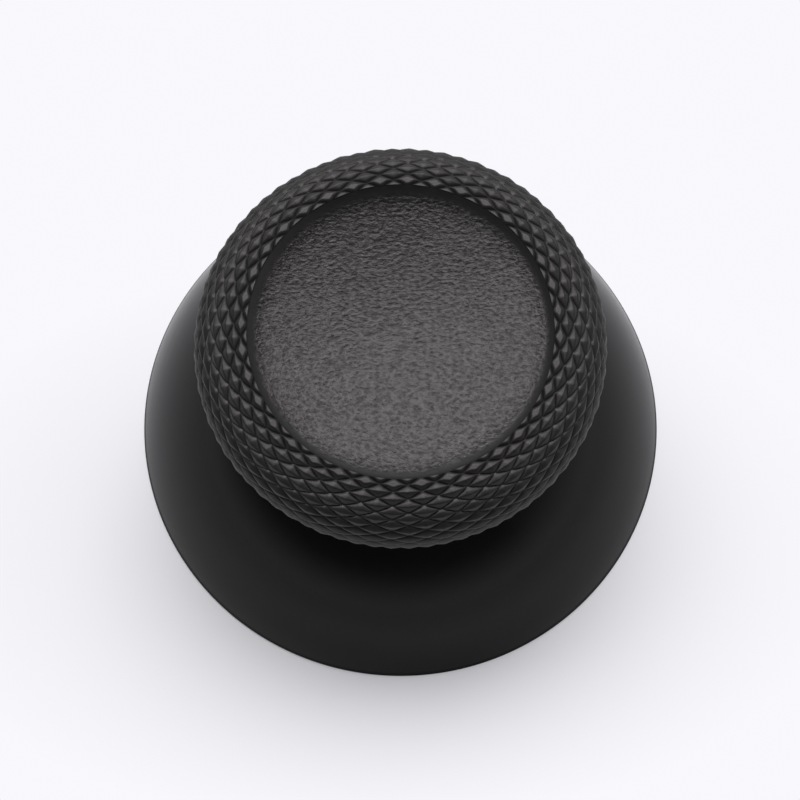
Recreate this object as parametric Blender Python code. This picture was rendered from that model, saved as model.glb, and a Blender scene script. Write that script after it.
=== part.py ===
"""Thumbstick cap for a game controller.

A hard domed body carries a soft knurled grip. The dome is a thin skirt that closes the round hole in the
controller's shell, and the post under its crown has the socket that presses onto the stick's shaft.
Metres, +Z up, with the origin at the centre of the skirt's bottom edge.
"""

import math

import bmesh
import bpy

# Skirt: a slice of a sphere centred on the stick's pivot, which lies below the skirt's edge
SKIRT_RADIUS = 0.0124
PIVOT_DROP = 0.0034
DOME_WALL = 0.0012
EDGE_BREAK = 0.00015

# Neck and head: the head is the disc that the grip is moulded round
NECK_LENGTH = 0.00119
NECK_FILLET = 0.0008
HEAD_OVERHANG = 0.0014

# Grip rim: a full-round ring, measured to the tips of the knurl
GRIP_RADIUS = 0.00936
RIM_SECTION_RADIUS = 0.00255
RIM_WALL = 0.00285

# Grip pad: a shallow dish, which rises steeply to the lip at the rim's top
DISH_DEPTH = 0.00057
DISH_EDGE_RISE = 0.00033
DISH_EDGE_POWER = 26
PAD_THICKNESS = 0.0009
UNDER_LIP = 0.00075

# Knurl: diamonds in staggered rows, wide round the rim and low across it, cut flat at the rim's top
KNURL_COUNT = 36
KNURL_ROW_PITCH = 0.000343
KNURL_DEPTH = 0.00018
KNURL_TOP_CUT = 0.00006
KNURL_TOP_ANGLE = math.radians(89.9)
KNURL_END_ANGLE = math.radians(-35)
KNURL_PHASE = math.radians(2.5)

# Post and socket: a double-D hole for a shaft with two flats
POST_RADIUS = 0.0034
POST_RECESS = 0.0005
POST_FILLET = 0.0006
SOCKET_RADIUS = 0.00202
SOCKET_HALF_FLATS = 0.00152
SOCKET_DEPTH = 0.0055
SOCKET_LEAD_IN = 0.0003

# Gussets: thin webs from the post to the crown
GUSSET_COUNT = 4
GUSSET_THICKNESS = 0.0008
GUSSET_REACH = 0.0039
GUSSET_DROP = 0.0033

# Clearance kept all round between the head and the grip's pocket
CORE_CLEARANCE = 0.0003

# Facets: how finely the round shapes are divided
BODY_SIDES = 60
DOME_STEPS = 10
FILLET_STEPS = 4
DISH_STEPS = 7
UNDERSIDE_STEPS = 3
SHARP_ANGLE = math.radians(32)

# Skirt and dome, worked out from the sphere
DOME_RADIUS = math.hypot(SKIRT_RADIUS, PIVOT_DROP)
INNER_RADIUS = DOME_RADIUS - DOME_WALL
CROWN = DOME_RADIUS - PIVOT_DROP
INNER_CROWN = INNER_RADIUS - PIVOT_DROP

# Grip levels, from its underside up
PLAIN_SECTION_RADIUS = RIM_SECTION_RADIUS - KNURL_DEPTH
RIM_RADIUS = GRIP_RADIUS - RIM_SECTION_RADIUS
UNDERSIDE = CROWN + NECK_LENGTH
RIM_LEVEL = UNDERSIDE + PLAIN_SECTION_RADIUS
TOP_LEVEL = RIM_LEVEL + RIM_SECTION_RADIUS - KNURL_TOP_CUT
LIP_RADIUS = RIM_RADIUS + PLAIN_SECTION_RADIUS * math.cos(KNURL_TOP_ANGLE)
LIP_LEVEL = RIM_LEVEL + PLAIN_SECTION_RADIUS * math.sin(KNURL_TOP_ANGLE)
DISH_LEVEL = LIP_LEVEL - DISH_DEPTH - DISH_EDGE_RISE

# Head and the pocket round it
HEAD_RADIUS = GRIP_RADIUS - RIM_WALL - CORE_CLEARANCE
NECK_RADIUS = HEAD_RADIUS - HEAD_OVERHANG
POCKET_RADIUS = HEAD_RADIUS + CORE_CLEARANCE
POCKET_FLOOR = UNDERSIDE + UNDER_LIP
POCKET_CEILING = DISH_LEVEL - PAD_THICKNESS
HEAD_BASE = POCKET_FLOOR + CORE_CLEARANCE
HEAD_TOP = POCKET_CEILING - CORE_CLEARANCE


def clear_scene():
    """Remove every object of the open file."""
    for item in list(bpy.data.objects):
        bpy.data.objects.remove(item, do_unlink=True)


def make_material(name, colour, roughness):
    """Return a plain plastic with the given colour and roughness."""
    material = bpy.data.materials.new(name)
    material.use_nodes = True
    shader = material.node_tree.nodes["Principled BSDF"]
    shader.inputs["Base Color"].default_value = (*colour, 1.0)
    shader.inputs["Roughness"].default_value = roughness
    shader.inputs["Metallic"].default_value = 0.0
    return material


def make_object(name, bm):
    """Turn a finished bmesh into a named object with its faces pointing out."""
    bmesh.ops.recalc_face_normals(bm, faces=bm.faces)
    mesh = bpy.data.meshes.new(name)
    bm.to_mesh(mesh)
    bm.free()
    item = bpy.data.objects.new(name, mesh)
    bpy.context.scene.collection.objects.link(item)
    return item


def make_cutter(name, bm):
    """Make a helper object that only shapes another one."""
    item = make_object(name, bm)
    item.hide_render = True
    item.display_type = "WIRE"
    return item


def shade_round(item):
    """Shade the mesh smooth, apart from its real edges."""
    item.data.shade_smooth()
    item.data.set_sharp_from_angle(angle=SHARP_ANGLE)


def combine(item, other, operation):
    """Add or cut another object's solid."""
    modifier = item.modifiers.new(other.name, "BOOLEAN")
    modifier.operation = operation
    modifier.solver = "EXACT"
    modifier.object = other


def arc(centre, radius, start, end, steps):
    """Return points along an arc, both ends included, as (radius from the axis, height)."""
    points = []
    for step in range(steps + 1):
        angle = start + (end - start) * step / steps
        points.append((centre[0] + radius * math.cos(angle), centre[1] + radius * math.sin(angle)))
    return points


def add_ring(bm, points, sides, phase=0.0):
    """Add one ring of vertices. Its columns take the given profile points in turn."""
    if points[0][0] == 0.0:
        return [bm.verts.new((0.0, 0.0, points[0][1]))]
    ring = []
    for side in range(sides):
        radius, height = points[side % len(points)]
        angle = phase + math.tau * side / sides
        ring.append(bm.verts.new((radius * math.cos(angle), radius * math.sin(angle), height)))
    return ring


def join_rings(bm, above, below):
    """Skin two rings with four-sided faces, or with a fan where one of them is a pole."""
    sides = max(len(above), len(below))
    for side in range(sides):
        after = (side + 1) % sides
        if len(above) == 1:
            corners = (above[0], below[side], below[after])
        elif len(below) == 1:
            corners = (above[side], above[after], below[0])
        else:
            corners = (above[side], below[side], below[after], above[after])
        bm.faces.new(corners)


def join_knurl_rings(bm, above, below, row):
    """Skin two rings with triangles whose diagonals run along the knurl's grooves."""
    sides = len(above)
    for side in range(sides):
        after = (side + 1) % sides
        if (side - row) % 2:
            bm.faces.new((above[side], below[side], below[after]))
            bm.faces.new((above[side], below[after], above[after]))
        else:
            bm.faces.new((above[side], below[side], above[after]))
            bm.faces.new((above[after], below[side], below[after]))


def turn_profile(bm, profile, sides, phase=0.0):
    """Spin a profile that starts and ends on the axis into a closed solid."""
    rings = [add_ring(bm, [point], sides, phase) for point in profile]
    for above, below in zip(rings, rings[1:]):
        join_rings(bm, above, below)


def head_and_neck_profile():
    """Return the head and the neck, from the axis down to the start of the neck's fillet."""
    return [
        (0.0, HEAD_TOP),
        (HEAD_RADIUS - EDGE_BREAK, HEAD_TOP),
        (HEAD_RADIUS, HEAD_TOP - EDGE_BREAK),
        (HEAD_RADIUS, HEAD_BASE + EDGE_BREAK),
        (HEAD_RADIUS - EDGE_BREAK, HEAD_BASE),
        (NECK_RADIUS, HEAD_BASE),
    ]


def neck_fillet_profile():
    """Return the hollow fillet that runs from the neck into the dome."""
    centre_radius = NECK_RADIUS + NECK_FILLET
    centre_rise = math.sqrt((DOME_RADIUS + NECK_FILLET) ** 2 - centre_radius ** 2)
    centre = (centre_radius, centre_rise - PIVOT_DROP)
    end = math.pi + math.atan2(centre_rise, centre_radius)
    return arc(centre, NECK_FILLET, math.pi, end, FILLET_STEPS)


def post_fillet_profile():
    """Return the hollow fillet that runs from the inner dome into the post."""
    centre_radius = POST_RADIUS + POST_FILLET
    centre_rise = math.sqrt((INNER_RADIUS - POST_FILLET) ** 2 - centre_radius ** 2)
    centre = (centre_radius, centre_rise - PIVOT_DROP)
    start = math.atan2(centre_rise, centre_radius)
    return arc(centre, POST_FILLET, start, math.pi, FILLET_STEPS)


def skirt_profile(first, last):
    """Return the dome's outer wall, its bottom edge and its inner wall, between two fillets."""
    centre = (0.0, -PIVOT_DROP)
    outer_start = math.atan2(first[1] + PIVOT_DROP, first[0])
    outer_end = math.asin((PIVOT_DROP + EDGE_BREAK) / DOME_RADIUS)
    inner_start = math.asin((PIVOT_DROP + EDGE_BREAK) / INNER_RADIUS)
    inner_end = math.atan2(last[1] + PIVOT_DROP, last[0])
    inner_edge = math.sqrt(INNER_RADIUS ** 2 - PIVOT_DROP ** 2)
    outer = arc(centre, DOME_RADIUS, outer_start, outer_end, DOME_STEPS)
    inner = arc(centre, INNER_RADIUS, inner_start, inner_end, DOME_STEPS)
    edge = [(SKIRT_RADIUS - EDGE_BREAK, 0.0), (inner_edge + EDGE_BREAK, 0.0)]
    return outer[1:] + edge + inner[:-1]


def post_profile():
    """Return the post, from its fillet down to the axis."""
    return [
        (POST_RADIUS, POST_RECESS + EDGE_BREAK),
        (POST_RADIUS - EDGE_BREAK, POST_RECESS),
        (0.0, POST_RECESS),
    ]


def socket_outline(grow):
    """Return the double-D outline, grown all round by a margin, anticlockwise from +X."""
    radius = SOCKET_RADIUS + grow
    half_flats = SOCKET_HALF_FLATS + grow
    end = math.asin(half_flats / radius)
    right = arc((0.0, 0.0), radius, -end, end, FILLET_STEPS * 2)
    left = [(-x, -y) for x, y in right]
    return right + left


def make_socket_cutter():
    """Make the socket's hollow, with a flared mouth."""
    bm = bmesh.new()
    levels = [
        (POST_RECESS - SOCKET_LEAD_IN, 2 * SOCKET_LEAD_IN),
        (POST_RECESS + SOCKET_LEAD_IN, 0.0),
        (POST_RECESS + SOCKET_DEPTH, 0.0),
    ]
    rings = []
    for height, grow in levels:
        rings.append([bm.verts.new((x, y, height)) for x, y in socket_outline(grow)])
    bm.faces.new(rings[0])
    bm.faces.new(rings[-1])
    for below, above in zip(rings, rings[1:]):
        join_rings(bm, above, below)
    return make_cutter("socket_cutter", bm)


def gusset_outline():
    """Return one gusset's outline in its own plane, with its ends sunk into the post and the wall."""
    wall_radius = INNER_RADIUS + DOME_WALL / 2
    root = POST_RADIUS / 2
    tip = POST_RADIUS + GUSSET_REACH
    root_angle = math.acos(root / wall_radius)
    tip_angle = math.acos(tip / wall_radius)
    upper = arc((0.0, -PIVOT_DROP), wall_radius, tip_angle, root_angle, FILLET_STEPS)
    return upper + [(root, INNER_CROWN - GUSSET_DROP)]


def make_gusset(index):
    """Make one thin web, turned to its place round the post."""
    bm = bmesh.new()
    angle = math.tau * (index + 0.5) / GUSSET_COUNT
    across, along = math.sin(angle), math.cos(angle)
    faces = []
    for offset in (-GUSSET_THICKNESS / 2, GUSSET_THICKNESS / 2):
        points = [(r * along - offset * across, r * across + offset * along, z) for r, z in gusset_outline()]
        faces.append([bm.verts.new(point) for point in points])
        bm.faces.new(faces[-1])
    join_rings(bm, faces[0], faces[1])
    return make_cutter(f"gusset_{index + 1}", bm)


def make_dome_body():
    """Make the hard moulding: head, neck, dome and post in one piece."""
    bm = bmesh.new()
    neck_fillet = neck_fillet_profile()
    post_fillet = post_fillet_profile()
    profile = head_and_neck_profile() + neck_fillet
    profile += skirt_profile(neck_fillet[-1], post_fillet[0])
    profile += post_fillet + post_profile()
    turn_profile(bm, profile, BODY_SIDES)
    body = make_object("dome_body", bm)
    shade_round(body)
    for index in range(GUSSET_COUNT):
        combine(body, make_gusset(index), "UNION")
    combine(body, make_socket_cutter(), "DIFFERENCE")
    body.data.materials.append(make_material("satin_black", (0.012, 0.012, 0.013), 0.38))
    return body


def dish_profile():
    """Return the dish, from the axis out to its last ring inside the lip."""
    points = [(0.0, DISH_LEVEL)]
    for step in range(1, DISH_STEPS):
        share = 1 - (1 - step / DISH_STEPS) ** 2
        rise = DISH_DEPTH * share ** 2 + DISH_EDGE_RISE * share ** DISH_EDGE_POWER
        points.append((LIP_RADIUS * share, DISH_LEVEL + rise))
    return points


def knurl_rows():
    """Return the knurl's rows as pairs of profile points, one at a tip and one in a groove."""
    pitch = KNURL_ROW_PITCH / RIM_SECTION_RADIUS
    count = int((KNURL_TOP_ANGLE - KNURL_END_ANGLE) / pitch) + 1
    rows = []
    for row in range(count):
        angle = KNURL_TOP_ANGLE - pitch * row
        across, up = math.cos(angle), math.sin(angle)
        tip_level = min(RIM_LEVEL + RIM_SECTION_RADIUS * up, TOP_LEVEL)
        tip = (RIM_RADIUS + RIM_SECTION_RADIUS * across, tip_level)
        groove = (RIM_RADIUS + PLAIN_SECTION_RADIUS * across, RIM_LEVEL + PLAIN_SECTION_RADIUS * up)
        rows.append((tip, groove) if row % 2 == 0 else (groove, tip))
    return rows


def underside_profile():
    """Return the plain underside, from below the knurl in to the neck's hole."""
    start = KNURL_END_ANGLE - KNURL_ROW_PITCH / RIM_SECTION_RADIUS
    curve = arc((RIM_RADIUS, RIM_LEVEL), PLAIN_SECTION_RADIUS, start, -math.pi / 2, UNDERSIDE_STEPS)
    return curve + [(NECK_RADIUS + CORE_CLEARANCE, UNDERSIDE)]


def pocket_profile():
    """Return the pocket that holds the head, from the neck's hole up to the axis."""
    return [
        (NECK_RADIUS + CORE_CLEARANCE, POCKET_FLOOR),
        (POCKET_RADIUS, POCKET_FLOOR),
        (POCKET_RADIUS, POCKET_CEILING),
        (0.0, POCKET_CEILING),
    ]


def make_grip_cap():
    """Make the soft moulding: dished pad, knurled rim and the pocket for the head."""
    bm = bmesh.new()
    sides = 2 * KNURL_COUNT
    top = [add_ring(bm, [point], sides, KNURL_PHASE) for point in dish_profile()]
    knurl = [add_ring(bm, pair, sides, KNURL_PHASE) for pair in knurl_rows()]
    under = [add_ring(bm, [point], sides, KNURL_PHASE) for point in underside_profile() + pocket_profile()]
    for above, below in zip(top, top[1:]):
        join_rings(bm, above, below)
    for row, (above, below) in enumerate(zip([top[-1]] + knurl, knurl + [under[0]])):
        join_knurl_rings(bm, above, below, row - 1)
    for above, below in zip(under, under[1:]):
        join_rings(bm, above, below)
    grip = make_object("grip_cap", bm)
    shade_round(grip)
    grip.data.materials.append(make_material("charcoal_grip", (0.055, 0.053, 0.055), 0.62))
    return grip


clear_scene()
make_dome_body()
make_grip_cap()
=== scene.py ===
"""Looks of a thumbstick cap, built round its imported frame.

The cap is two mouldings: a hard satin dome with a post under it, and a soft charcoal grip with a
knurled rim. Everything is in metres, with the stick's axis along +Z.
"""

import math

import bpy
import numpy as np
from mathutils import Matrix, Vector


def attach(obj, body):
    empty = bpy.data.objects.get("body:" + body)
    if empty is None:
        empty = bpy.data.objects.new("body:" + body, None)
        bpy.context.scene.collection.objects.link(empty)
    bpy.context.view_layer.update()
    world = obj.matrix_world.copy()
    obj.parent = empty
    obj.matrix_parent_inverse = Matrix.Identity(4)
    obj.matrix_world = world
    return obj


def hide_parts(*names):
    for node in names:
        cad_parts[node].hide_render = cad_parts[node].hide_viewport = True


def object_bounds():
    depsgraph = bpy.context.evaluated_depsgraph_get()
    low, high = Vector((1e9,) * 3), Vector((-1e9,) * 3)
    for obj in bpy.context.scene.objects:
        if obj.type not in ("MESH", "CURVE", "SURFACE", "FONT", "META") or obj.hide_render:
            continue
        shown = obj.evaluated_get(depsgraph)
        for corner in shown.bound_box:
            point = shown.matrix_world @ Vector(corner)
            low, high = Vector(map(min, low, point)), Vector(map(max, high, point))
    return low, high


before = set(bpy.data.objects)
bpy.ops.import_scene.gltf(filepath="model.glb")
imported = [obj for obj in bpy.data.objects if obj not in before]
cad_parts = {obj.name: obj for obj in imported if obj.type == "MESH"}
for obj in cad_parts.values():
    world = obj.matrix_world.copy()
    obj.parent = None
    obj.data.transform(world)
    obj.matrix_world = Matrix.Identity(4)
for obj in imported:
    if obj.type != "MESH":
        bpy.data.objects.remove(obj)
cad_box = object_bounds()
mm = 0.001


# Dome body. One hard plastic moulding: a thin skirt shaped as a slice of a ball that is centred on
# the stick's pivot, with a neck and a head on top that the grip is moulded round, and a post below
# whose double-D socket presses onto the joystick's shaft.

skirt_radius = 12.4 * mm
pivot_drop = 3.4 * mm
dome_wall = 1.2 * mm
edge_break = 0.15 * mm
neck_length = 1.19 * mm
neck_radius = 4.81 * mm
neck_fillet = 0.8 * mm
head_radius = 6.21 * mm
head_base_rise = 1.05 * mm
head_thickness = 1.59 * mm
post_radius = 3.4 * mm
post_recess = 0.5 * mm
post_fillet = 0.6 * mm
socket_radius = 2.02 * mm
socket_half_flats = 1.52 * mm
socket_depth = 5.5 * mm
socket_lead_in = 0.3 * mm
gusset_count = 4
gusset_thickness = 0.8 * mm
gusset_reach = 3.9 * mm
gusset_drop = 3.3 * mm
body_sides = 288
dome_steps = 48
inner_dome_steps = 32
fillet_steps = 10
skirt_edge_steps = 5
small_edge_steps = 4
gusset_steps = 12
body_crease = math.radians(40)

dome_radius = math.hypot(skirt_radius, pivot_drop)
inner_radius = dome_radius - dome_wall
inner_crown = inner_radius - pivot_drop
underside = dome_radius - pivot_drop + neck_length
head_base = underside + head_base_rise
ball_centre = (0.0, -pivot_drop)


def arc(centre, radius, start, end, steps):
    """Points along an arc as (distance from the axis, height), both ends included."""
    angles = np.linspace(start, end, steps + 1)
    return [(centre[0] + radius * math.cos(a), centre[1] + radius * math.sin(a)) for a in angles]


def turned_ring(point, sides):
    """One ring of a turned shape, or a single point where it meets the axis."""
    if point[0] == 0.0:
        return np.array([[0.0, 0.0, point[1]]])
    turn = np.arange(sides) * math.tau / sides
    return np.stack([point[0] * np.cos(turn), point[0] * np.sin(turn), np.full(sides, point[1])], axis=1)


def ring_faces(above, below, leaning):
    """Faces between two rings of vertex numbers: quads, or triangles that lean to either side."""
    if len(above) == 1:
        return [(above[0], a, b) for a, b in zip(below, np.roll(below, -1))]
    if len(below) == 1:
        return [(a, below[0], b) for a, b in zip(above, np.roll(above, -1))]
    corners = np.stack([above, below, np.roll(below, -1), np.roll(above, -1)], axis=1)
    if leaning is None:
        return corners.tolist()
    falling = corners[leaning]
    rising = corners[~leaning]
    split = [falling[:, [0, 1, 2]], falling[:, [0, 2, 3]], rising[:, [0, 1, 3]], rising[:, [1, 2, 3]]]
    return np.concatenate(split).tolist()


def skin(name, rings, leanings=None):
    """A closed mesh through rings of points, from the axis at the top round to the axis below."""
    starts = np.cumsum([0] + [len(r) for r in rings])
    numbers = [np.arange(a, b) for a, b in zip(starts, starts[1:])]
    faces = []
    for place, (above, below) in enumerate(zip(numbers, numbers[1:])):
        faces += ring_faces(above, below, leanings[place] if leanings else None)
    mesh = bpy.data.meshes.new(name)
    mesh.from_pydata(np.concatenate(rings).tolist(), [], faces)
    mesh.validate()
    mesh.shade_smooth()
    piece = bpy.data.objects.new(name, mesh)
    bpy.context.scene.collection.objects.link(piece)
    return piece


def fillet_outside(radius, size):
    """The hollow fillet between an upright round of this radius and the top of the dome."""
    rise = math.sqrt((dome_radius + size) ** 2 - (radius + size) ** 2)
    turn = math.pi + math.atan2(rise, radius + size)
    return arc((radius + size, rise - pivot_drop), size, math.pi, turn, fillet_steps)


def fillet_inside(radius, size):
    """The hollow fillet between the inside of the dome and an upright round of this radius."""
    rise = math.sqrt((inner_radius - size) ** 2 - (radius + size) ** 2)
    turn = math.atan2(rise, radius + size)
    return arc((radius + size, rise - pivot_drop), size, turn, math.pi, fillet_steps)


def socket_ring(grow, height):
    """A double-D outline with as many points as a turned ring, so that the two can be skinned."""
    turn = np.arange(body_sides) * math.tau / body_sides
    flats = (socket_half_flats + grow) / np.maximum(np.abs(np.sin(turn)), 1e-6)
    reach = np.minimum(socket_radius + grow, flats)
    return np.stack([reach * np.cos(turn), reach * np.sin(turn), np.full(body_sides, height)], axis=1)


neck_curve = fillet_outside(neck_radius, neck_fillet)
post_curve = fillet_inside(post_radius, post_fillet)
outer_start = math.atan2(neck_curve[-1][1] + pivot_drop, neck_curve[-1][0])
outer_end = math.asin((pivot_drop + edge_break) / dome_radius)
inner_start = math.asin((pivot_drop + edge_break) / inner_radius)
inner_end = math.atan2(post_curve[0][1] + pivot_drop, post_curve[0][0])
inner_edge = math.sqrt(inner_radius ** 2 - pivot_drop ** 2)
head_top = head_base + head_thickness

head_upper_edge = (head_radius - edge_break, head_top - edge_break)
head_lower_edge = (head_radius - edge_break, head_base + edge_break)
skirt_outer_edge = (skirt_radius - edge_break, edge_break)
skirt_inner_edge = (inner_edge + edge_break, edge_break)
post_edge = (post_radius - edge_break, post_recess + edge_break)

profile = [(0.0, head_top), (head_radius - edge_break, head_top)]
profile += arc(head_upper_edge, edge_break, math.pi / 2, 0, small_edge_steps)[1:]
profile += arc(head_lower_edge, edge_break, 0, -math.pi / 2, small_edge_steps)
profile += [(neck_radius, head_base)] + neck_curve
profile += arc(ball_centre, dome_radius, outer_start, outer_end, dome_steps)[1:]
profile += arc(skirt_outer_edge, edge_break, 0, -math.pi / 2, skirt_edge_steps)[1:]
profile += arc(skirt_inner_edge, edge_break, -math.pi / 2, -math.pi, skirt_edge_steps)
profile += arc(ball_centre, inner_radius, inner_start, inner_end, inner_dome_steps)[1:-1] + post_curve
profile += arc(post_edge, edge_break, 0, -math.pi / 2, small_edge_steps)

socket_floor = post_recess + socket_depth
body_rings = [turned_ring(point, body_sides) for point in profile]
body_rings += [socket_ring(socket_lead_in, post_recess), socket_ring(0.0, post_recess + socket_lead_in)]
body_rings += [socket_ring(0.0, socket_floor), np.array([[0.0, 0.0, socket_floor]])]
dome_body = skin("hard_dome", body_rings)

wall_middle = inner_radius + dome_wall / 2
gusset_root = post_radius / 2
gusset_tip = post_radius + gusset_reach
tip_turn = math.acos(gusset_tip / wall_middle)
root_turn = math.acos(gusset_root / wall_middle)
gusset_edge = arc(ball_centre, wall_middle, tip_turn, root_turn, gusset_steps)
gusset_edge.append((gusset_root, inner_crown - gusset_drop))

for number in range(gusset_count):
    turn = math.tau * (number + 0.5) / gusset_count
    out = np.array([math.cos(turn), math.sin(turn)])
    side = np.array([-out[1], out[0]]) * gusset_thickness / 2
    front = [(*(r * out + side), z) for r, z in gusset_edge]
    back = [(*(r * out - side), z) for r, z in gusset_edge]
    count = len(gusset_edge)
    faces = [tuple(range(count)), tuple(range(2 * count - 1, count - 1, -1))]
    faces += [(a, (a + 1) % count, count + (a + 1) % count, count + a) for a in range(count)]
    mesh = bpy.data.meshes.new("gusset")
    mesh.from_pydata(front + back, [], faces)
    cutter = bpy.data.objects.new("gusset", mesh)
    bpy.context.scene.collection.objects.link(cutter)
    join = dome_body.modifiers.new("gusset", "BOOLEAN")
    join.operation = "UNION"
    join.object = cutter
    bpy.context.view_layer.objects.active = dome_body
    bpy.ops.object.modifier_apply(modifier=join.name)
    bpy.data.objects.remove(cutter)

dome_body.data.shade_smooth()
dome_body.data.set_sharp_from_angle(angle=body_crease)


def plastic(name, roughness, ior):
    """A plain plastic to build on, with its node tree, its shader and a coordinate fixed to the piece."""
    material = bpy.data.materials.new(name)
    material.use_nodes = True
    shader = material.node_tree.nodes["Principled BSDF"]
    shader.inputs["Roughness"].default_value = roughness
    shader.inputs["IOR"].default_value = ior
    place = material.node_tree.nodes.new("ShaderNodeTexCoord")
    return material, material.node_tree, shader, place.outputs["Object"]


def noise(tree, place, size, detail, roughness=0.5):
    """Soft noise whose blobs are about this size."""
    node = tree.nodes.new("ShaderNodeTexNoise")
    node.inputs["Scale"].default_value = 1.0 / size
    node.inputs["Detail"].default_value = detail
    node.inputs["Roughness"].default_value = roughness
    tree.links.new(place, node.inputs["Vector"])
    return node.outputs["Fac"]


def spread(tree, value, low, high, to_low, to_high):
    """A value moved from one range to another, held at its ends."""
    node = tree.nodes.new("ShaderNodeMapRange")
    node.inputs["From Min"].default_value = low
    node.inputs["From Max"].default_value = high
    node.inputs["To Min"].default_value = to_low
    node.inputs["To Max"].default_value = to_high
    tree.links.new(value, node.inputs["Value"])
    return node.outputs["Result"]


def blend_colours(tree, share, first, second):
    """A colour between two colours, or between a node's colour and another."""
    node = tree.nodes.new("ShaderNodeMix")
    node.data_type = "RGBA"
    tree.links.new(share, node.inputs["Factor"])
    for colour, socket in ((first, node.inputs[6]), (second, node.inputs[7])):
        if isinstance(colour, tuple):
            socket.default_value = (*colour, 1.0)
        else:
            tree.links.new(colour, socket)
    return node.outputs[2]


def add_bump(tree, height, depth, before=None):
    """A bump of this depth, on top of an earlier one where there is one."""
    node = tree.nodes.new("ShaderNodeBump")
    node.inputs["Strength"].default_value = 1.0
    node.inputs["Distance"].default_value = depth
    tree.links.new(height, node.inputs["Height"])
    if before is not None:
        tree.links.new(before, node.inputs["Normal"])
    return node.outputs["Normal"]


satin_black = (0.0022, 0.0021, 0.0023)
flow_black = (0.0032, 0.0031, 0.0033)
flow_size = 3.5 * mm
haze_size = 0.6 * mm
mould_texture_size = 0.12 * mm
mould_texture_depth = 0.0012 * mm
satin_roughness = 0.18
satin_smoothest = 0.16
satin_roughest = 0.21
satin_ior = 1.27
flow_low = 0.35
flow_high = 0.65
noise_low = 0.3
noise_high = 0.7

satin, tree, shader, place = plastic("satin_black_shell", satin_roughness, satin_ior)
flow = noise(tree, place, flow_size, detail=3.0)
flow_lines = spread(tree, flow, flow_low, flow_high, 0.0, 1.0)
tree.links.new(blend_colours(tree, flow_lines, satin_black, flow_black), shader.inputs["Base Color"])
haze = noise(tree, place, haze_size, detail=4.0, roughness=0.6)
haze_roughness = spread(tree, haze, noise_low, noise_high, satin_smoothest, satin_roughest)
tree.links.new(haze_roughness, shader.inputs["Roughness"])
mould_texture = noise(tree, place, mould_texture_size, detail=2.0)
tree.links.new(add_bump(tree, mould_texture, mould_texture_depth), shader.inputs["Normal"])
dome_body.data.materials.clear()
dome_body.data.materials.append(satin)
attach(dome_body, "root")
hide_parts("dome_body")


# Grip cap. One soft moulding, shot over the dome body's head: a full-round rim with a diamond knurl
# that is cut flat on top, next to the lip, and a shallow dish with a fine leather-like grain for the
# thumb. Its underside closes round the neck, and its pocket holds the head.

grip_radius = 9.36 * mm
rim_section = 2.55 * mm
knurl_depth = 0.18 * mm
knurl_count = 36
knurl_row_pitch = 0.343 * mm
knurl_top = math.radians(89.9)
knurl_phase = math.radians(2.5)
knurl_steps = 8
knurl_first_row = 3 / 16
knurl_second_row = 1 / 4
knurl_last_row = 16
knurl_fade_rows = 0.6
knurl_corner = 8.0
knurl_crown = 1.15
knurl_groove_share = 0.25
knurl_groove_power = 8
knurl_top_cut = 0.085 * mm
knurl_unevenness = 0.1
dish_depth = 0.66 * mm
dish_edge_rise = 0.24 * mm
dish_edge_power = 28
dish_steps = 24
grain_margin = 0.33 * mm
grain_stretch = 0.7
under_lip = 0.75 * mm
core_clearance = 0.3 * mm
hole_break = 0.1 * mm
plain_steps = 9
grip_crease = math.radians(50)

rim_radius = grip_radius - rim_section
plain_section = rim_section - knurl_depth
rim_level = underside + plain_section
grip_sides = 2 * knurl_count * knurl_steps
row_pitch = knurl_row_pitch / rim_section


def from_even(value):
    """How far a value lies from the nearest even number, from 0 to 1."""
    return np.abs(value - 2 * np.round(value / 2))


def scatter(first, second):
    """A fixed pseudo-random number from 0 to 1 for each pair of whole numbers."""
    return np.modf(np.abs(np.sin(first * 12.9898 + second * 78.233) * 43758.5453))[0]


def knurl_height(column, row):
    """Height of the knurl from 0 in a groove to about 1 on a tip: four-sided pyramids with soft tips."""
    rising, falling = column + row, column - row
    both_ways = from_even(rising) ** knurl_corner + from_even(falling) ** knurl_corner
    reach = np.clip(both_ways ** (1 / knurl_corner), 0, 1)
    facets = (1 - knurl_groove_share) * reach ** knurl_crown
    groove = knurl_groove_share * reach ** knurl_groove_power
    diamond = scatter(np.round(rising / 2) % knurl_count, np.round(falling / 2) % knurl_count)
    return (1 - facets - groove) * (1 - knurl_unevenness * diamond)


def knurl_ring(row):
    """One ring of the knurled surface."""
    column = np.arange(grip_sides) / knurl_steps
    fade = np.clip((knurl_last_row - row) / knurl_fade_rows, 0, 1)
    section = plain_section + knurl_depth * knurl_height(column, row) * fade
    slope = knurl_top - row_pitch * row
    across = rim_radius + section * math.cos(slope)
    rise = np.minimum(section * math.sin(slope), rim_section - knurl_top_cut)
    turn = knurl_phase + column * math.tau / (2 * knurl_count)
    return np.stack([across * np.cos(turn), across * np.sin(turn), rim_level + rise], axis=1)


def knurl_leaning(row):
    """Which quads below a knurl ring are split from their upper left, so that edges follow grooves."""
    cell = np.floor(np.arange(grip_sides) / knurl_steps) + math.floor(row)
    return cell % 2 == 1


def grip_ring(point):
    """A plain ring of the grip, turned to the knurl's phase."""
    ring = turned_ring(point, grip_sides)
    along, aside = math.cos(knurl_phase), math.sin(knurl_phase)
    ring[:, :2] = ring[:, :2] @ np.array([[along, aside], [-aside, along]])
    return ring


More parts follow.
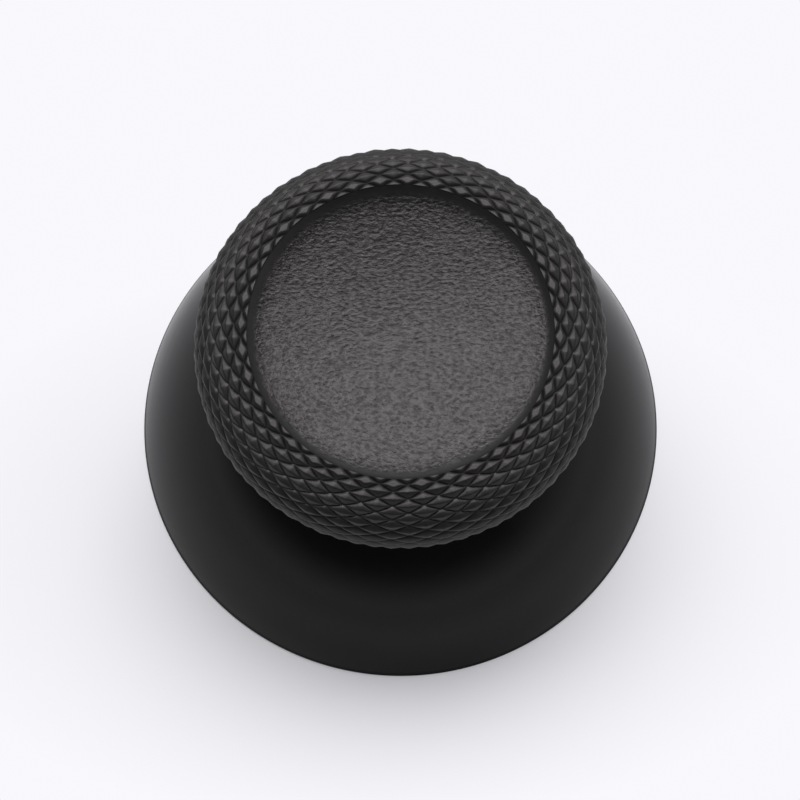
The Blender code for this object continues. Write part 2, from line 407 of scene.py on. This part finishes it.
past_last_row = knurl_last_row + 0.5 / knurl_steps
knurl_rows = np.append(knurl_first_row, np.arange(knurl_second_row, past_last_row, 1 / knurl_steps))
lip_slope = knurl_top - row_pitch * knurl_first_row
lip_radius = rim_radius + plain_section * math.cos(lip_slope)
lip_level = rim_level + plain_section * math.sin(lip_slope)
dish_level = lip_level - dish_depth - dish_edge_rise

dish = [(0.0, dish_level)]
for share in 1 - np.linspace(1, 0, dish_steps + 1)[1:] ** 2:
    rise = dish_depth * share ** 2 + dish_edge_rise * share ** dish_edge_power
    dish.append((lip_radius * share, dish_level + rise))
last_slope = knurl_top - row_pitch * knurl_last_row
below_rim = arc((rim_radius, rim_level), plain_section, last_slope, -math.pi / 2, plain_steps)[1:]
hole_radius = neck_radius + core_clearance
pocket_radius = head_radius + core_clearance
pocket_floor = underside + under_lip
pocket_ceiling = head_top + core_clearance
hole_level = below_rim[-1][1]
below_rim += [(hole_radius + hole_break, hole_level), (hole_radius, hole_level + hole_break)]
pocket = [(hole_radius, pocket_floor), (pocket_radius, pocket_floor), (pocket_radius, pocket_ceiling)]
pocket.append((0.0, pocket_ceiling))

top_rings = [grip_ring(point) for point in dish]
rim_rings = [knurl_ring(row) for row in knurl_rows]
low_rings = [grip_ring(point) for point in below_rim + pocket]
leanings = [None] * len(top_rings) + [knurl_leaning(row) for row in knurl_rows[:-1]]
leanings += [None] * len(low_rings)
grip_cap = skin("knurled_grip", top_rings + rim_rings + low_rings, leanings)
grip_cap.data.set_sharp_from_angle(angle=grip_crease)

charcoal = (0.0072, 0.0070, 0.0072)
worn_charcoal = (0.0098, 0.0095, 0.0098)
grain_hollow_painted_shade = (0.0058, 0.0056, 0.0058)
grain_size = 0.16 * mm
grain_depth = 0.038 * mm
tooth_size = 0.05 * mm
tooth_depth = 0.004 * mm
wear_size = 0.8 * mm
pad_smoothest = 0.27
pad_roughest = 0.36
rim_rougher = 0.12
rim_sheen = 0.5
pad_sheen = 0.475
hollow_painted_shade_loss = 0.22
crest_painted_sheen_gain = 0.06
grain_low = 0.35
grain_high = 0.6
grip_roughness = 0.34
grip_ior = 1.46


def distance_from_axis(tree, place):
    """How far a point of the piece lies from the stick's axis."""
    flat = tree.nodes.new("ShaderNodeVectorMath")
    flat.operation = "MULTIPLY"
    flat.inputs[1].default_value = (1.0, 1.0, 0.0)
    tree.links.new(place, flat.inputs[0])
    length = tree.nodes.new("ShaderNodeVectorMath")
    length.operation = "LENGTH"
    tree.links.new(flat.outputs["Vector"], length.inputs[0])
    return length.outputs["Value"]


def reckon(tree, operation, first, second):
    """The sum, the difference or the product of two values."""
    node = tree.nodes.new("ShaderNodeMath")
    node.operation = operation
    tree.links.new(first, node.inputs[0])
    tree.links.new(second, node.inputs[1])
    return node.outputs["Value"]


rubber, tree, shader, place = plastic("charcoal_grip", grip_roughness, grip_ior)
grain_end = lip_radius - grain_margin / 2
on_pad = spread(tree, distance_from_axis(tree, place), grain_end - grain_margin, grain_end, 1.0, 0.0)
lengthways = tree.nodes.new("ShaderNodeVectorMath")
lengthways.operation = "MULTIPLY"
lengthways.inputs[1].default_value = (grain_stretch, 1.0, 1.0)
tree.links.new(place, lengthways.inputs[0])
grain = noise(tree, lengthways.outputs["Vector"], grain_size, detail=3.0, roughness=0.6)
tooth = noise(tree, place, tooth_size, detail=2.0)
wear = noise(tree, place, wear_size, detail=3.0)

worn = spread(tree, wear, noise_low, noise_high, 0.0, 1.0)
shades = blend_colours(tree, worn, charcoal, worn_charcoal)
# The pad's grain is painted darker in its hollows, as painted shade.
hollow_painted_shade_share = reckon(tree, "MULTIPLY", spread(tree, grain, grain_low, grain_high, 1.0, 0.0), on_pad)
tree.links.new(blend_colours(tree, hollow_painted_shade_share, shades, grain_hollow_painted_shade), shader.inputs["Base Color"])

rim_extra = spread(tree, on_pad, 0.0, 1.0, rim_rougher, 0.0)
tooth_roughness = spread(tree, tooth, noise_low, noise_high, pad_smoothest, pad_roughest)
tree.links.new(reckon(tree, "ADD", tooth_roughness, rim_extra), shader.inputs["Roughness"])

# On the pad the specular level is lowered in the grain's hollows as painted shade, and raised a little on
# its crests as a painted sheen.
grain_painted_shade_loss = spread(tree, grain, grain_low, grain_high, hollow_painted_shade_loss, -crest_painted_sheen_gain)
pad_painted_shade_loss = reckon(tree, "MULTIPLY", grain_painted_shade_loss, on_pad)
sheen = reckon(tree, "SUBTRACT", spread(tree, on_pad, 0.0, 1.0, rim_sheen, pad_sheen), pad_painted_shade_loss)
tree.links.new(sheen, shader.inputs["Specular IOR Level"])

fine = add_bump(tree, tooth, tooth_depth)
coarse = add_bump(tree, reckon(tree, "MULTIPLY", grain, on_pad), grain_depth, fine)
tree.links.new(coarse, shader.inputs["Normal"])
grip_cap.data.materials.clear()
grip_cap.data.materials.append(rubber)
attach(grip_cap, "root")
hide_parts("grip_cap")


# Table. A matt white sheet that the cap stands on. Seen by the camera it glows plain white as painted
# light, more and more away from an oval round the cap's shadow, so that only the shadow's core shows,
# and in that core it is seen mostly as it is. The cap itself is lit by the sheet as it is everywhere.

table_reach = 60 * mm
table_white = (0.88, 0.91, 0.93)
shadow_centre = (-1.6 * mm, -5.7 * mm)
shadow_flatness = 0.6
near_glow_share = 0.1
glow_start = 4.5 * mm
glow_full = 14 * mm
table_gap = 0.01 * mm
table_glow = (0.945, 0.935, 0.98)
table_roughness = 0.9
table_ior = 1.3

mesh = bpy.data.meshes.new("table")
corners = [(x * table_reach, y * table_reach, 0) for x, y in ((-1, -1), (1, -1), (1, 1), (-1, 1))]
mesh.from_pydata(corners, [], [(0, 1, 2, 3)])
table = bpy.data.objects.new("table", mesh)
bpy.context.scene.collection.objects.link(table)
table.location.z = cad_box[0].z - table_gap

paper, tree, shader, place = plastic("white_sheet", table_roughness, table_ior)
shader.inputs["Base Color"].default_value = (*table_white, 1.0)
shader.inputs["Specular IOR Level"].default_value = 0.0
# Painted light: an emission seen only by the camera, which covers the sheet's real shading outside an
# oval round the cap, so the visible edge of the shadow is painted.
glow = tree.nodes.new("ShaderNodeEmission")
glow.inputs["Color"].default_value = (*table_glow, 1.0)
from_shadow = tree.nodes.new("ShaderNodeVectorMath")
from_shadow.operation = "MULTIPLY_ADD"
from_shadow.inputs[1].default_value = (shadow_flatness, 1.0, 1.0)
from_shadow.inputs[2].default_value = (-shadow_centre[0] * shadow_flatness, -shadow_centre[1], 0.0)
tree.links.new(place, from_shadow.inputs[0])
reach = distance_from_axis(tree, from_shadow.outputs["Vector"])
seen = tree.nodes.new("ShaderNodeLightPath")
glow_share = spread(tree, reach, glow_start, glow_full, near_glow_share, 1.0)
lift_share = reckon(tree, "MULTIPLY", seen.outputs["Is Camera Ray"], glow_share)
lift = tree.nodes.new("ShaderNodeMixShader")
tree.links.new(lift_share, lift.inputs["Fac"])
tree.links.new(shader.outputs["BSDF"], lift.inputs[1])
tree.links.new(glow.outputs["Emission"], lift.inputs[2])
tree.links.new(lift.outputs["Shader"], tree.nodes["Material Output"].inputs["Surface"])
mesh.materials.append(paper)


# Light. A wide soft box above and behind the cap and a little to its left. The room round it is dim,
# with a bright wall behind, a duller one to the right and a pale horizon all round.

surround = (0.12, 0.12, 0.124)
horizon = (1.0, 1.0, 1.02)
horizon_reach = 0.3
back_wall = (1.35, 1.34, 1.36)
back_wall_rise = 0.3
back_wall_reach = 0.9
right_wall = (0.7, 0.7, 0.72)
right_wall_rise = 0.35
right_wall_reach = 0.75
seen_surround = (0.93, 0.93, 0.96)
key_turn = math.radians(8)
key_height = math.radians(66)
key_distance = 400 * mm
key_width = 400 * mm
key_depth = 180 * mm
key_power = 1.42
key_colour = (1.0, 0.94, 0.955)

world = bpy.data.worlds.new("surroundings")
world.use_nodes = True
bpy.context.scene.world = world
air = world.node_tree.nodes["Background"]
ray = world.node_tree.nodes.new("ShaderNodeLightPath")
sight = world.node_tree.nodes.new("ShaderNodeTexCoord")
room = surround
areas = (
    ((0.0, 1.0, back_wall_rise), (1.0, 1.0, 1.0), back_wall_reach, back_wall),
    ((1.0, 0.0, right_wall_rise), (1.0, 1.0, 1.0), right_wall_reach, right_wall),
    ((0.0, 0.0, 0.0), (0.0, 0.0, 1.0), horizon_reach, horizon),
)
for centre, axes, reach, colour in areas:
    apart = world.node_tree.nodes.new("ShaderNodeVectorMath")
    apart.operation = "SUBTRACT"
    apart.inputs[1].default_value = centre
    world.node_tree.links.new(sight.outputs["Generated"], apart.inputs[0])
    kept = world.node_tree.nodes.new("ShaderNodeVectorMath")
    kept.operation = "MULTIPLY"
    kept.inputs[1].default_value = axes
    world.node_tree.links.new(apart.outputs["Vector"], kept.inputs[0])
    length = world.node_tree.nodes.new("ShaderNodeVectorMath")
    length.operation = "LENGTH"
    world.node_tree.links.new(kept.outputs["Vector"], length.inputs[0])
    nearness = spread(world.node_tree, length.outputs["Value"], 0.0, reach, 1.0, 0.0)
    room = blend_colours(world.node_tree, nearness, room, colour)
pick = blend_colours(world.node_tree, ray.outputs["Is Camera Ray"], room, seen_surround)
world.node_tree.links.new(pick, air.inputs["Color"])

key_data = bpy.data.lights.new("soft_box", "AREA")
key_data.shape = "RECTANGLE"
key_data.size = key_width
key_data.size_y = key_depth
key_data.energy = key_power
key_data.color = key_colour
key_light = bpy.data.objects.new("soft_box", key_data)
bpy.context.scene.collection.objects.link(key_light)
flat_reach = key_distance * math.cos(key_height)
key_light.location.x = -flat_reach * math.sin(key_turn)
key_light.location.y = flat_reach * math.cos(key_turn)
key_light.location.z = key_distance * math.sin(key_height)
key_light.rotation_euler = (-key_light.location).to_track_quat("-Z", "Y").to_euler()


# Camera. It looks down steeply from the front through a long lens. The target is a point on the
# stick's axis, and its column and row are where it falls in the picture.

camera_height = math.radians(73.4)
camera_distance = 180 * mm
camera_target = 7 * mm
camera_lens = 173.6
camera_near = 10 * mm
sensor = 36.0
frame_pixels = 800
target_column = 400.5
target_row = 384.3

camera_data = bpy.data.cameras.new("camera")
camera_data.lens = camera_lens
camera_data.sensor_width = sensor
camera_data.clip_start = camera_near
camera = bpy.data.objects.new("camera", camera_data)
bpy.context.scene.collection.objects.link(camera)
back = Vector((0.0, -math.cos(camera_height), math.sin(camera_height)))
up = Vector((0.0, math.sin(camera_height), math.cos(camera_height)))
pixel = camera_distance * sensor / camera_lens / frame_pixels
right_shift = (frame_pixels / 2 - target_column) * pixel
up_shift = (target_row - frame_pixels / 2) * pixel
aim = Vector((right_shift, 0.0, camera_target)) + up * up_shift
camera.location = Vector((0.0, 0.0, camera_target)) + back * camera_distance
camera.rotation_euler = (aim - camera.location).to_track_quat("-Z", "Y").to_euler()
bpy.context.scene.camera = camera
bpy.context.scene.view_settings.view_transform = "Standard"
